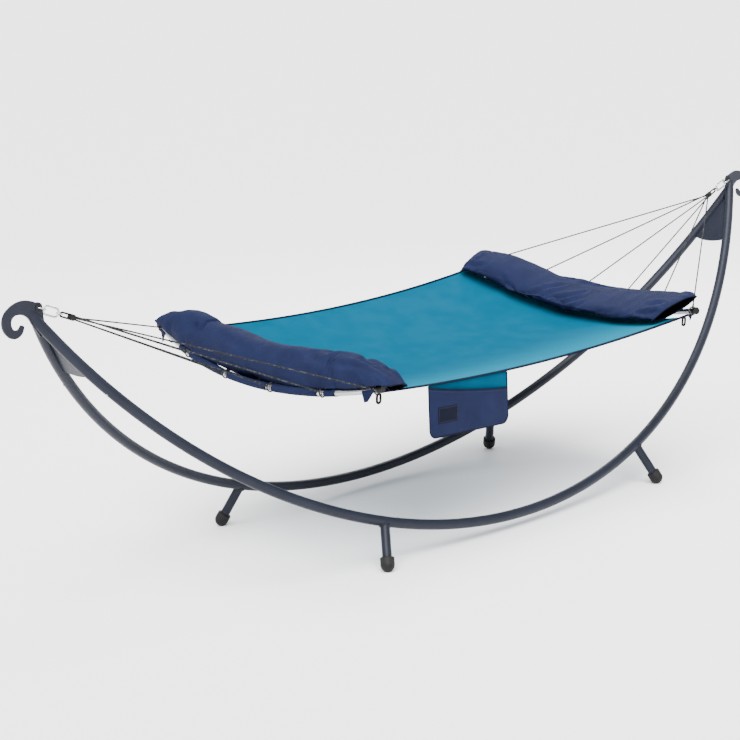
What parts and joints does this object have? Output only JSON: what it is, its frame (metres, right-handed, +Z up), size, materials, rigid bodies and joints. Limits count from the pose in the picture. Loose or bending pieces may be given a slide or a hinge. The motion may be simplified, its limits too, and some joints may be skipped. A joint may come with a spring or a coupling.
{
  "type": "hammock on stand",
  "caption": "Spreader-bar hammock with pillows and a side pocket, hung by ropes and carabiners in a free-standing steel stand of two leaning bent tubes.",
  "frame": {"origin": "on the floor under the middle of the stand", "axes": "+X along the hammock, +Y across it away from the pocket's side, +Z up"},
  "size_m": [4.352, 1.3752, 1.2142],
  "materials": {
    "stand_paint": "slate blue-grey, satin",
    "foot_rubber": "matte black",
    "bushing_plastic": "matte black",
    "link_steel": "plated",
    "button_steel": "plated",
    "rope": "braided, grey with light flecks",
    "dark_rope": "braided",
    "collar": "matte black",
    "bar_metal": "satin",
    "cap_rubber": "matte black",
    "sleeve_cloth": "woven, navy",
    "bed_cloth": "woven, teal",
    "pillow_cloth": "woven, navy",
    "pocket_back_cloth": "woven, teal",
    "pocket_pouch_cloth": "woven, navy",
    "toggle_cord": "cord, black"
  },
  "bodies": {
    "stand": {"hook_plate_left": "stand_paint", "gusset_left": "stand_paint", "end_tube_front_left": "stand_paint", "side_tube_front_left": "stand_paint", "leg_front_left": "stand_paint", "end_tube_back_left": "stand_paint", "side_tube_back_left": "stand_paint", "leg_back_left": "stand_paint", "hook_plate_right": "stand_paint", "gusset_right": "stand_paint", "end_tube_front_right": "stand_paint", "side_tube_front_right": "stand_paint", "leg_front_right": "stand_paint", "end_tube_back_right": "stand_paint", "side_tube_back_right": "stand_paint", "leg_back_right": "stand_paint", "centre_tube_front": "stand_paint", "centre_tube_back": "stand_paint", "foot_caps": "foot_rubber", "eye_bushings": "bushing_plastic", "eye_links": "link_steel"},
    "hammock": {"carabiner_left": "link_steel", "spreader_bar_left": "bar_metal", "pillow_left": "pillow_cloth", "carabiner_right": "link_steel", "spreader_bar_right": "bar_metal", "pillow_right": "pillow_cloth", "rope_left_1": "rope", "rope_left_2": "rope", "rope_left_3": "rope", "rope_left_4": "rope", "rope_left_5": "rope", "rope_left_6": "rope", "rope_right_1": "rope", "rope_right_2": "rope", "rope_right_3": "rope", "rope_right_4": "rope", "rope_right_5": "rope", "rope_right_6": "rope", "gate_pins": "link_steel", "small_rings": "link_steel", "rope_eyes": "dark_rope", "rope_collars": "collar", "bar_end_caps": "cap_rubber", "bar_sleeves": "sleeve_cloth", "bed_cloth": "bed_cloth", "corner_toggles": "toggle_cord"},
    "gate_left": {"gate_left": "link_steel"},
    "gate_right": {"gate_right": "link_steel"},
    "pocket": {"pocket_back": "pocket_back_cloth", "pocket_pouch": "pocket_pouch_cloth"},
    "snap_clip_mid_front_left": {"snap_clip_mid_front_left": "button_steel"},
    "snap_clip_end_front_left": {"snap_clip_end_front_left": "button_steel"},
    "snap_clip_mid_back_left": {"snap_clip_mid_back_left": "button_steel"},
    "snap_clip_end_back_left": {"snap_clip_end_back_left": "button_steel"},
    "snap_clip_mid_front_right": {"snap_clip_mid_front_right": "button_steel"},
    "snap_clip_end_front_right": {"snap_clip_end_front_right": "button_steel"},
    "snap_clip_mid_back_right": {"snap_clip_mid_back_right": "button_steel"},
    "snap_clip_end_back_right": {"snap_clip_end_back_right": "button_steel"}
  },
  "joints": [
    {"name": "hammock_swing", "type": "hinge", "parent": "stand", "child": "hammock", "pos_m": [0, 0, 1.16826], "axis": [1, 0, 0], "range_deg": [-30, 30]},
    {"name": "gate_left_open", "type": "hinge", "parent": "hammock", "child": "gate_left", "pos_m": [-1.94104, 0.00021, 1.16536], "axis": [0, -0.9974, -0.0715], "range_deg": [0, 25], "stiffness_Nm_per_rad": 0.15, "springref_deg": -17.19},
    {"name": "gate_right_open", "type": "hinge", "parent": "hammock", "child": "gate_right", "pos_m": [1.94104, 0.00021, 1.16536], "axis": [0, 0.9974, 0.0715], "range_deg": [0, 25], "stiffness_Nm_per_rad": 0.15, "springref_deg": -17.19},
    {"name": "pocket_swing", "type": "hinge", "parent": "hammock", "child": "pocket", "pos_m": [-0.664, -0.60219, 0.72641], "axis": [0.9985, 0.0239, -0.0491], "range_deg": [-80, 30]},
    {"name": "press_mid_front_left", "type": "slide", "parent": "stand", "child": "snap_clip_mid_front_left", "axis": [-0.3015, -0.3954, -0.8676], "range_m": [0, 0.005], "stiffness_N_per_m": 1500, "springref_m": -0.003},
    {"name": "press_end_front_left", "type": "slide", "parent": "stand", "child": "snap_clip_end_front_left", "axis": [0.7804, 0.2593, 0.5689], "range_m": [0, 0.005], "stiffness_N_per_m": 1500, "springref_m": -0.003},
    {"name": "press_mid_back_left", "type": "slide", "parent": "stand", "child": "snap_clip_mid_back_left", "axis": [-0.3015, 0.3954, -0.8676], "range_m": [0, 0.005], "stiffness_N_per_m": 1500, "springref_m": -0.003},
    {"name": "press_end_back_left", "type": "slide", "parent": "stand", "child": "snap_clip_end_back_left", "axis": [0.7804, -0.2593, 0.5689], "range_m": [0, 0.005], "stiffness_N_per_m": 1500, "springref_m": -0.003},
    {"name": "press_mid_front_right", "type": "slide", "parent": "stand", "child": "snap_clip_mid_front_right", "axis": [0.3015, -0.3954, -0.8676], "range_m": [0, 0.005], "stiffness_N_per_m": 1500, "springref_m": -0.003},
    {"name": "press_end_front_right", "type": "slide", "parent": "stand", "child": "snap_clip_end_front_right", "axis": [-0.7804, 0.2593, 0.5689], "range_m": [0, 0.005], "stiffness_N_per_m": 1500, "springref_m": -0.003},
    {"name": "press_mid_back_right", "type": "slide", "parent": "stand", "child": "snap_clip_mid_back_right", "axis": [0.3015, 0.3954, -0.8676], "range_m": [0, 0.005], "stiffness_N_per_m": 1500, "springref_m": -0.003},
    {"name": "press_end_back_right", "type": "slide", "parent": "stand", "child": "snap_clip_end_back_right", "axis": [-0.7804, -0.2593, 0.5689], "range_m": [0, 0.005], "stiffness_N_per_m": 1500, "springref_m": -0.003}
  ]
}
